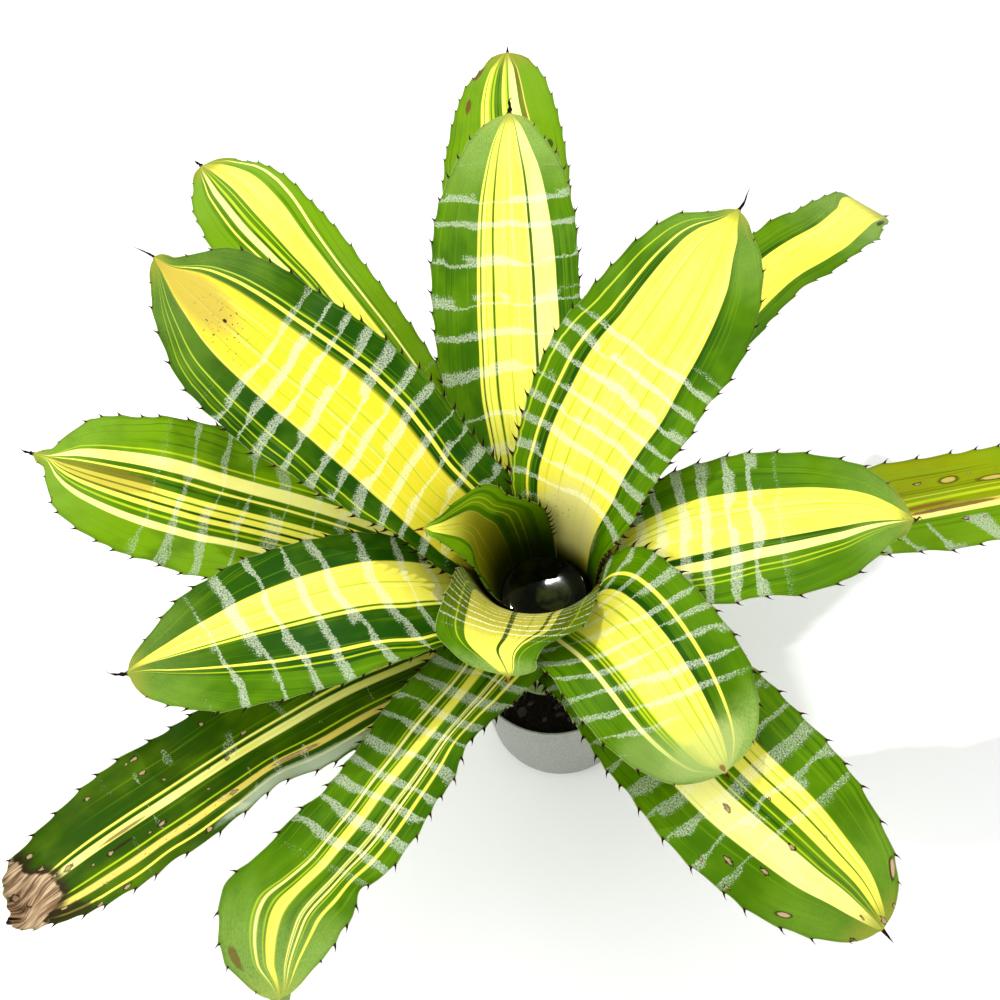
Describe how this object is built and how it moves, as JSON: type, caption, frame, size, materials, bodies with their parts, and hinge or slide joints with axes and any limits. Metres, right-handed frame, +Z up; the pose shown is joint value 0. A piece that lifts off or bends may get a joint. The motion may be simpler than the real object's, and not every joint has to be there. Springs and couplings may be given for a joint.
{
  "type": "tank bromeliad",
  "caption": "Variegated tank bromeliad: a rosette of spiny-edged strap leaves whose sheaths form a water-holding vase, rooted in a round nursery pot.",
  "frame": {"origin": "centre of the pot's flat underside", "axes": "+Z up along the pot's axis; -Y is the side that the pot shows past the leaves, towards the viewer"},
  "size_m": [0.7193, 0.6769, 0.3882],
  "materials": {
    "inner_leaf": "satin",
    "outer_leaf": "satin",
    "pot_plastic": "matte",
    "potting_mix": "matte",
    "stem": "matte",
    "water": "gloss"
  },
  "bodies": {
    "root": {"leaf_01_heart": "inner_leaf", "leaf_02_lip": "inner_leaf", "leaf_03_broad_back": "inner_leaf", "leaf_04_front_right": "inner_leaf", "leaf_05_broad_left": "inner_leaf", "leaf_06_upright_back": "inner_leaf", "leaf_07_left_front": "inner_leaf", "leaf_08_right": "inner_leaf", "leaf_09_back_left": "outer_leaf", "leaf_10_front_wavy": "outer_leaf", "leaf_11_left": "outer_leaf", "leaf_12_low_front_right": "outer_leaf", "leaf_13_back_right": "outer_leaf", "leaf_14_withered_tip": "outer_leaf", "leaf_15_low_right": "outer_leaf", "leaf_16_low_back": "outer_leaf", "pot": "pot_plastic", "potting_mix": "potting_mix", "stem": "stem", "tank_water": "water"}
  },
  "joints": []
}
